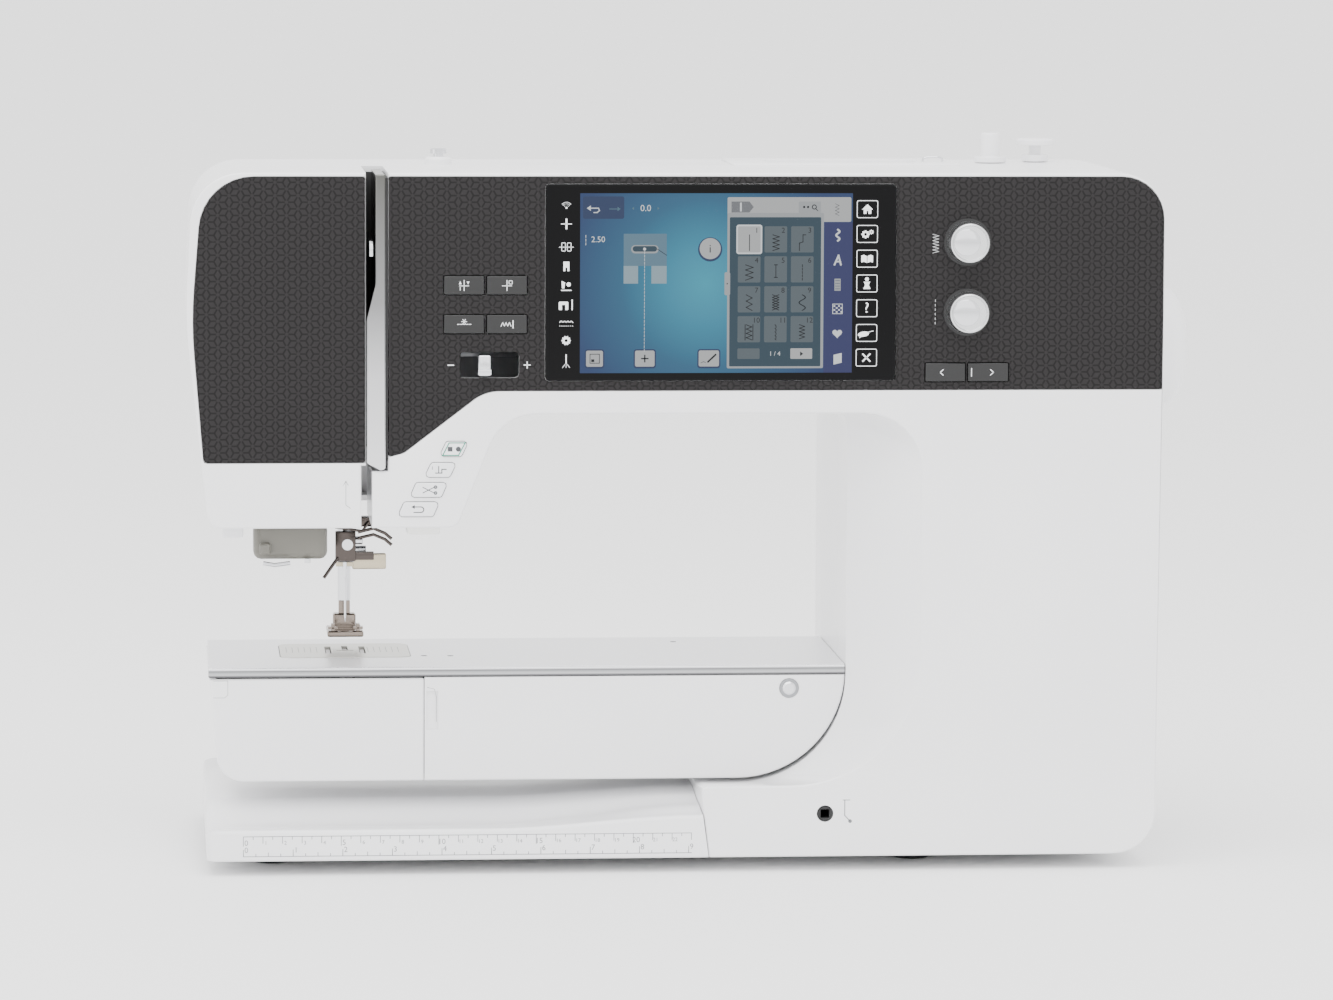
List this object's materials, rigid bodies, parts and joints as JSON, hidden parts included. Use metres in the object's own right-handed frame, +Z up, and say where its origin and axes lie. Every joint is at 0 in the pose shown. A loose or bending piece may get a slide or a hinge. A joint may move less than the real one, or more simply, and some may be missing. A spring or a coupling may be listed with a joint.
{
  "type": "sewing machine",
  "caption": "Electronic sewing machine with a long free arm, a dark fascia with touch screen, two knobs, push keys, handwheel and a working needle, foot and hook mechanism.",
  "frame": {"origin": "centre of the bounding box at table level, under the machine", "axes": "+X along the arm towards the handwheel, +Y from the front to the rear, +Z up"},
  "size_m": [0.5305, 0.218, 0.376],
  "materials": {
    "white_shell": "gloss moulded",
    "dark_fascia": "satin film",
    "black_plastic": "gloss",
    "screen": "black glass",
    "steel": "brushed",
    "chrome": "polished",
    "cast": "cast",
    "rubber": "matte",
    "board": "matte",
    "knob": "satin",
    "threader": "satin"
  },
  "bodies": {
    "housing": {"front_cover": "white_shell", "head_cover": "white_shell", "rear_cover": "white_shell", "column_rear_cover": "white_shell", "base": "white_shell", "bottom_plate": "steel", "foot_front_left": "rubber", "foot_front_right": "rubber", "foot_rear_left": "rubber", "foot_rear_right": "rubber", "fascia_panel": "dark_fascia", "head_fascia": "dark_fascia", "screen_glass": "screen", "display_module": "screen", "control_board": "board", "lever_trim": "chrome", "freearm_cover": "white_shell", "freearm_bed": "steel", "bed_rail": "chrome", "stitch_plate": "steel", "machine_frame": "cast", "drive_motor": "cast", "power_supply": "steel", "power_inlet": "black_plastic", "bobbin_case": "chrome", "bobbin": "chrome", "drive_belt": "rubber", "spool_pin": "white_shell"},
    "drive_shaft": {"main_shaft": "steel", "handwheel": "white_shell"},
    "motor_spindle": {"motor_pulley": "steel"},
    "hook_drive": {"lower_shaft": "steel", "rotary_hook": "chrome"},
    "needle_drive": {"needle_bar": "chrome", "connecting_rod": "steel"},
    "take_up": {"take_up_lever": "chrome"},
    "feed": {"feed_dog": "chrome"},
    "presser": {"presser_bar": "chrome", "presser_foot": "chrome"},
    "foot_clamp": {"clamp_lever": "steel"},
    "presser_lift": {"presser_lifter": "dark_fascia"},
    "threader": {"needle_threader": "threader"},
    "door": {"bobbin_door": "white_shell"},
    "width_knob": {"stitch_width_knob": "knob"},
    "length_knob": {"stitch_length_knob": "knob"},
    "winder": {"bobbin_winder": "white_shell"},
    "slider": {"speed_slider": "chrome"},
    "handle": {"carrying_handle": "white_shell"},
    "switch": {"power_switch": "black_plastic"},
    "knee_lift": {"knee_socket": "black_plastic"},
    "start_stop": {"start_stop_key": "white_shell"},
    "presser_foot": {"presser_foot_key": "white_shell"},
    "thread_cutter": {"thread_cutter_key": "white_shell"},
    "reverse": {"reverse_key": "white_shell"},
    "needle_up_down": {"needle_up_down_button": "black_plastic"},
    "needle_stop": {"needle_stop_button": "black_plastic"},
    "securing": {"securing_button": "black_plastic"},
    "pattern_end": {"pattern_end_button": "black_plastic"},
    "needle_left": {"needle_left_button": "black_plastic"},
    "needle_right": {"needle_right_button": "black_plastic"}
  },
  "joints": [
    {"name": "handwheel_turn", "type": "hinge", "parent": "housing", "child": "drive_shaft", "pos_m": [0, 0.009, 0.263], "axis": [1, 0, 0], "continuous": true},
    {"name": "motor_turn", "type": "hinge", "parent": "housing", "child": "motor_spindle", "pos_m": [0.205, -0.02, 0.15], "axis": [1, 0, 0], "continuous": true},
    {"name": "hook_turn", "type": "hinge", "parent": "housing", "child": "hook_drive", "pos_m": [-0.1819, 0.009, 0.072], "axis": [1, 0, 0], "continuous": true},
    {"name": "needle_stroke", "type": "slide", "parent": "housing", "child": "needle_drive", "axis": [0, 0, -1], "range_m": [0, 0.029]},
    {"name": "take_up_swing", "type": "hinge", "parent": "housing", "child": "take_up", "pos_m": [-0.1716, -0.038, 0.322], "axis": [1, 0, 0], "range_deg": [0, 50]},
    {"name": "feed_advance", "type": "slide", "parent": "housing", "child": "feed", "axis": [0, 1, 0], "range_m": [-0.002, 0.002]},
    {"name": "presser_drop", "type": "slide", "parent": "housing", "child": "presser", "axis": [0, 0, -1], "range_m": [0, 0.0076]},
    {"name": "presser_lifter_swing", "type": "hinge", "parent": "housing", "child": "presser_lift", "pos_m": [-0.155, 0.046, 0.2], "axis": [-1, 0, 0], "range_deg": [0, 25]},
    {"name": "foot_clamp_swing", "type": "hinge", "parent": "presser", "child": "foot_clamp", "pos_m": [-0.1819, 0.0188, 0.149], "axis": [0, -1, 0], "range_deg": [0, 60]},
    {"name": "threader_drop", "type": "slide", "parent": "housing", "child": "threader", "axis": [0, 0, -1], "range_m": [0, 0.025], "stiffness_N_per_m": 20, "springref_m": -0.01},
    {"name": "bobbin_door_fold", "type": "hinge", "parent": "housing", "child": "door", "pos_m": [0, -0.05865, 0.04465], "axis": [1, 0, 0], "range_deg": [0, 90]},
    {"name": "stitch_width_turn", "type": "hinge", "parent": "housing", "child": "width_knob", "pos_m": [0.133, -0.098, 0.3247], "axis": [0, 1, 0], "continuous": true},
    {"name": "stitch_length_turn", "type": "hinge", "parent": "housing", "child": "length_knob", "pos_m": [0.133, -0.098, 0.2888], "axis": [0, 1, 0], "continuous": true},
    {"name": "winder_turn", "type": "hinge", "parent": "housing", "child": "winder", "pos_m": [0.186, 0.03, 0.36], "axis": [0, 0, 1], "continuous": true},
    {"name": "speed_slide", "type": "slide", "parent": "housing", "child": "slider", "axis": [1, 0, 0], "range_m": [-0.0085, 0.014]},
    {"name": "handle_lift", "type": "hinge", "parent": "housing", "child": "handle", "pos_m": [0.08, 0.0505, 0.3598], "axis": [-1, 0, 0], "range_deg": [0, 90]},
    {"name": "power_rocker", "type": "hinge", "parent": "housing", "child": "switch", "pos_m": [0.23, 0.033, 0.05], "axis": [0, 0, 1], "range_deg": [-6, 6]},
    {"name": "knee_socket_turn", "type": "hinge", "parent": "housing", "child": "knee_lift", "pos_m": [0.0617, -0.098, 0.03], "axis": [0, 1, 0], "range_deg": [0, 18]},
    {"name": "start_stop_key_press", "type": "slide", "parent": "housing", "child": "start_stop", "axis": [0, 1, 0], "range_m": [0, 0.001], "stiffness_N_per_m": 600, "springref_m": -0.0005},
    {"name": "presser_foot_key_press", "type": "slide", "parent": "housing", "child": "presser_foot", "axis": [0, 1, 0], "range_m": [0, 0.001], "stiffness_N_per_m": 600, "springref_m": -0.0005},
    {"name": "thread_cutter_key_press", "type": "slide", "parent": "housing", "child": "thread_cutter", "axis": [0, 1, 0], "range_m": [0, 0.001], "stiffness_N_per_m": 600, "springref_m": -0.0005},
    {"name": "reverse_key_press", "type": "slide", "parent": "housing", "child": "reverse", "axis": [0, 1, 0], "range_m": [0, 0.001], "stiffness_N_per_m": 600, "springref_m": -0.0005},
    {"name": "needle_up_down_button_press", "type": "slide", "parent": "housing", "child": "needle_up_down", "axis": [0, 1, 0], "range_m": [0, 0.0006], "stiffness_N_per_m": 600, "springref_m": -0.0005},
    {"name": "needle_stop_button_press", "type": "slide", "parent": "housing", "child": "needle_stop", "axis": [0, 1, 0], "range_m": [0, 0.0006], "stiffness_N_per_m": 600, "springref_m": -0.0005},
    {"name": "securing_button_press", "type": "slide", "parent": "housing", "child": "securing", "axis": [0, 1, 0], "range_m": [0, 0.0006], "stiffness_N_per_m": 600, "springref_m": -0.0005},
    {"name": "pattern_end_button_press", "type": "slide", "parent": "housing", "child": "pattern_end", "axis": [0, 1, 0], "range_m": [0, 0.0006], "stiffness_N_per_m": 600, "springref_m": -0.0005},
    {"name": "needle_left_button_press", "type": "slide", "parent": "housing", "child": "needle_left", "axis": [0, 1, 0], "range_m": [0, 0.0006], "stiffness_N_per_m": 600, "springref_m": -0.0005},
    {"name": "needle_right_button_press", "type": "slide", "parent": "housing", "child": "needle_right", "axis": [0, 1, 0], "range_m": [0, 0.0006], "stiffness_N_per_m": 600, "springref_m": -0.0005}
  ],
  "couplings": [
    {"joint": "motor_turn", "follows": "handwheel_turn", "ratio": 3.0548},
    {"joint": "hook_turn", "follows": "handwheel_turn", "ratio": 2},
    {"joint": "take_up_swing", "follows": "needle_stroke", "rad_per_m": 30},
    {"joint": "feed_advance", "follows": "needle_stroke", "ratio": 0.066},
    {"joint": "presser_lifter_swing", "follows": "presser_drop", "rad_per_m": 57}
  ]
}
